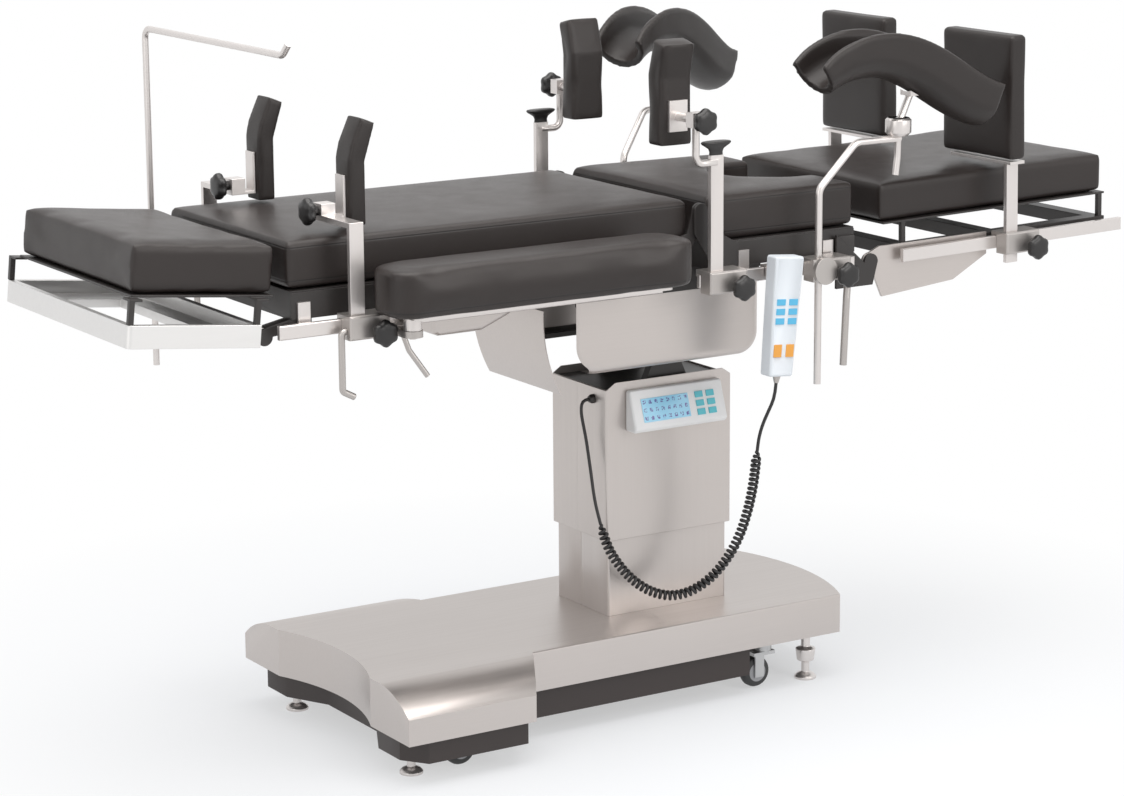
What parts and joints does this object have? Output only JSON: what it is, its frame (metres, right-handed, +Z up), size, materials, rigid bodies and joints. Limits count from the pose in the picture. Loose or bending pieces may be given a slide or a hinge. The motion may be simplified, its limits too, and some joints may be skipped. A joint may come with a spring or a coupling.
{
  "type": "operating table",
  "caption": "Mobile operating table: telescopic column on a wheeled base, tilting sectioned top, side rails with arm board, leg holders, supports and screen frame.",
  "frame": {"origin": "on the floor, under the middle of the whole table with its supports fitted", "axes": "+X from the head end to the leg end, -Y towards the side with the arm board, +Z up"},
  "size_m": [2.191, 0.9322, 1.3584],
  "materials": {
    "satin_steel": "satin brushed stainless sheet",
    "bright_steel": "fine ground stainless",
    "frame_paint": "black semi-gloss",
    "head_metal": "satin anodised",
    "upholstery": "dark brown-grey smooth leatherette over foam",
    "clamp_metal": "cast, satin, with black plastic knobs",
    "caster_metal": "zinc plated",
    "tyre": "matt",
    "panel_plastic": "fine texture",
    "display": "display window and key row",
    "pendant_plastic": "light grey shell, coloured keys",
    "cord": "matt black"
  },
  "bodies": {
    "base": {"base_cover": "satin_steel", "base_chassis": "frame_paint", "drive_unit": "frame_paint", "levelling_feet": "bright_steel", "column_lower_sleeve": "satin_steel", "lift_cylinder": "bright_steel"},
    "column": {"column_upper_sleeve": "satin_steel", "column_front_cover": "satin_steel", "column_head": "frame_paint", "control_panel": "panel_plastic", "panel_display": "display", "cord_lead": "cord", "cord_curl": "cord", "cord_tail": "cord"},
    "yoke": {"tilt_yoke": "frame_paint", "tilt_shroud": "satin_steel"},
    "seat": {"seat_frame": "frame_paint", "seat_cushion": "upholstery", "seat_rails": "bright_steel", "tilt_housing": "satin_steel", "support_clamps": "clamp_metal", "crutch_clamps": "clamp_metal", "pendant": "pendant_plastic"},
    "back": {"back_frame": "frame_paint", "back_cushion": "upholstery", "back_rails": "bright_steel", "back_housing": "satin_steel", "back_rail_clamps": "clamp_metal", "arm_clamp": "clamp_metal"},
    "head": {"head_frame": "head_metal", "head_panel": "head_metal", "head_cushion": "upholstery"},
    "leg": {"leg_frame": "frame_paint", "leg_hinge_plates": "satin_steel", "leg_cushion": "upholstery", "leg_rails": "bright_steel", "foot_clamps": "clamp_metal"},
    "arm_board": {"arm_plate": "clamp_metal", "arm_pad": "upholstery"},
    "screen": {"screen_rod": "bright_steel"},
    "shoulder_near": {"shoulder_support_near": "upholstery"},
    "shoulder_far": {"shoulder_support_far": "upholstery"},
    "body_near": {"body_support_near": "clamp_metal", "body_pad_near": "upholstery"},
    "body_far": {"body_support_far": "clamp_metal", "body_pad_far": "upholstery"},
    "crutch_near": {"crutch_rod_near": "bright_steel"},
    "crutch_far": {"crutch_rod_far": "bright_steel"},
    "gutter_near": {"crutch_gutter_near": "upholstery"},
    "gutter_far": {"crutch_gutter_far": "upholstery"},
    "foot_near": {"foot_board_near": "upholstery"},
    "foot_far": {"foot_board_far": "upholstery"},
    "caster_1": {"caster_fork_1": "caster_metal"},
    "wheel_1": {"caster_wheel_1": "tyre"},
    "caster_2": {"caster_fork_2": "caster_metal"},
    "wheel_2": {"caster_wheel_2": "tyre"},
    "caster_3": {"caster_fork_3": "caster_metal"},
    "wheel_3": {"caster_wheel_3": "tyre"},
    "caster_4": {"caster_fork_4": "caster_metal"},
    "wheel_4": {"caster_wheel_4": "tyre"}
  },
  "joints": [
    {"name": "caster_swivel_1", "type": "hinge", "parent": "base", "child": "caster_1", "pos_m": [-0.43, -0.295, 0.09], "axis": [0, 0, 1], "continuous": true},
    {"name": "wheel_spin_1", "type": "hinge", "parent": "caster_1", "child": "wheel_1", "pos_m": [-0.45, -0.295, 0.034], "axis": [0, 1, 0], "continuous": true},
    {"name": "caster_swivel_2", "type": "hinge", "parent": "base", "child": "caster_2", "pos_m": [-0.43, 0.175, 0.09], "axis": [0, 0, 1], "continuous": true},
    {"name": "wheel_spin_2", "type": "hinge", "parent": "caster_2", "child": "wheel_2", "pos_m": [-0.45, 0.175, 0.034], "axis": [0, 1, 0], "continuous": true},
    {"name": "caster_swivel_3", "type": "hinge", "parent": "base", "child": "caster_3", "pos_m": [0.296, -0.21, 0.09], "axis": [0, 0, 1], "continuous": true},
    {"name": "wheel_spin_3", "type": "hinge", "parent": "caster_3", "child": "wheel_3", "pos_m": [0.276, -0.21, 0.034], "axis": [0, 1, 0], "continuous": true},
    {"name": "caster_swivel_4", "type": "hinge", "parent": "base", "child": "caster_4", "pos_m": [0.296, 0.09, 0.09], "axis": [0, 0, 1], "continuous": true},
    {"name": "wheel_spin_4", "type": "hinge", "parent": "caster_4", "child": "wheel_4", "pos_m": [0.276, 0.09, 0.034], "axis": [0, 1, 0], "continuous": true},
    {"name": "column_lift", "type": "slide", "parent": "base", "child": "column", "axis": [0, 0, 1], "range_m": [-0.14, 0.12], "deforming": ["cord_lead", "cord_curl", "cord_tail"]},
    {"name": "trendelenburg", "type": "hinge", "parent": "column", "child": "yoke", "pos_m": [0.109, -0.06, 0.79], "axis": [0, -1, 0], "range_deg": [-25, 25]},
    {"name": "lateral_tilt", "type": "hinge", "parent": "yoke", "child": "seat", "pos_m": [0.109, -0.06, 0.79], "axis": [1, 0, 0], "range_deg": [-14, 14]},
    {"name": "back_fold", "type": "hinge", "parent": "seat", "child": "back", "pos_m": [0.076, -0.06, 0.985], "axis": [0, 1, 0], "range_deg": [-5, 45]},
    {"name": "head_fold", "type": "hinge", "parent": "back", "child": "head", "pos_m": [-0.826, -0.06, 0.846], "axis": [0, 1, 0], "range_deg": [-96, 4]},
    {"name": "leg_fold", "type": "hinge", "parent": "seat", "child": "leg", "pos_m": [0.474, -0.06, 0.85], "axis": [0, 1, 0], "range_deg": [-4, 91]},
    {"name": "arm_swing", "type": "hinge", "parent": "back", "child": "arm_board", "pos_m": [-0.5915, -0.4015, 0.85], "axis": [0, 0, 1], "range_deg": [-110, 0]},
    {"name": "screen_turn", "type": "hinge", "parent": "back", "child": "screen", "pos_m": [-0.79, 0.2263, 0.856], "axis": [0, 0, 1], "range_deg": [-90, 90]},
    {"name": "shoulder_slide_near", "type": "slide", "parent": "back", "child": "shoulder_near", "axis": [0, 0, 1], "range_m": [-0.004, 0.022]},
    {"name": "body_slide_near", "type": "slide", "parent": "seat", "child": "body_near", "axis": [0, 0, 1], "range_m": [-0.06, 0.022]},
    {"name": "shoulder_slide_far", "type": "slide", "parent": "back", "child": "shoulder_far", "axis": [0, 0, 1], "range_m": [-0.004, 0.022]},
    {"name": "body_slide_far", "type": "slide", "parent": "seat", "child": "body_far", "axis": [0, 0, 1], "range_m": [-0.06, 0.022]},
    {"name": "foot_slide_near", "type": "slide", "parent": "leg", "child": "foot_near", "axis": [-0.0209, 0, 0.9998], "range_m": [-0.004, 0.035]},
    {"name": "foot_slide_far", "type": "slide", "parent": "leg", "child": "foot_far", "axis": [-0.0209, 0, 0.9998], "range_m": [-0.004, 0.035]},
    {"name": "crutch_turn_near", "type": "hinge", "parent": "seat", "child": "crutch_near", "pos_m": [0.322, -0.3463, 0.856], "axis": [0, 0, 1], "range_deg": [-75, 5]},
    {"name": "crutch_turn_far", "type": "hinge", "parent": "seat", "child": "crutch_far", "pos_m": [0.256, 0.2263, 0.856], "axis": [0, 0, 1], "range_deg": [-30, 50]},
    {"name": "gutter_tilt_near", "type": "hinge", "parent": "crutch_near", "child": "gutter_near", "pos_m": [0.508, -0.3463, 1.117], "axis": [0, 1, 0], "range_deg": [-30, 8]},
    {"name": "gutter_tilt_far", "type": "hinge", "parent": "crutch_far", "child": "gutter_far", "pos_m": [0.42023, 0.31362, 1.117], "axis": [-0.4695, 0.8829, 0], "range_deg": [-30, 8]}
  ]
}
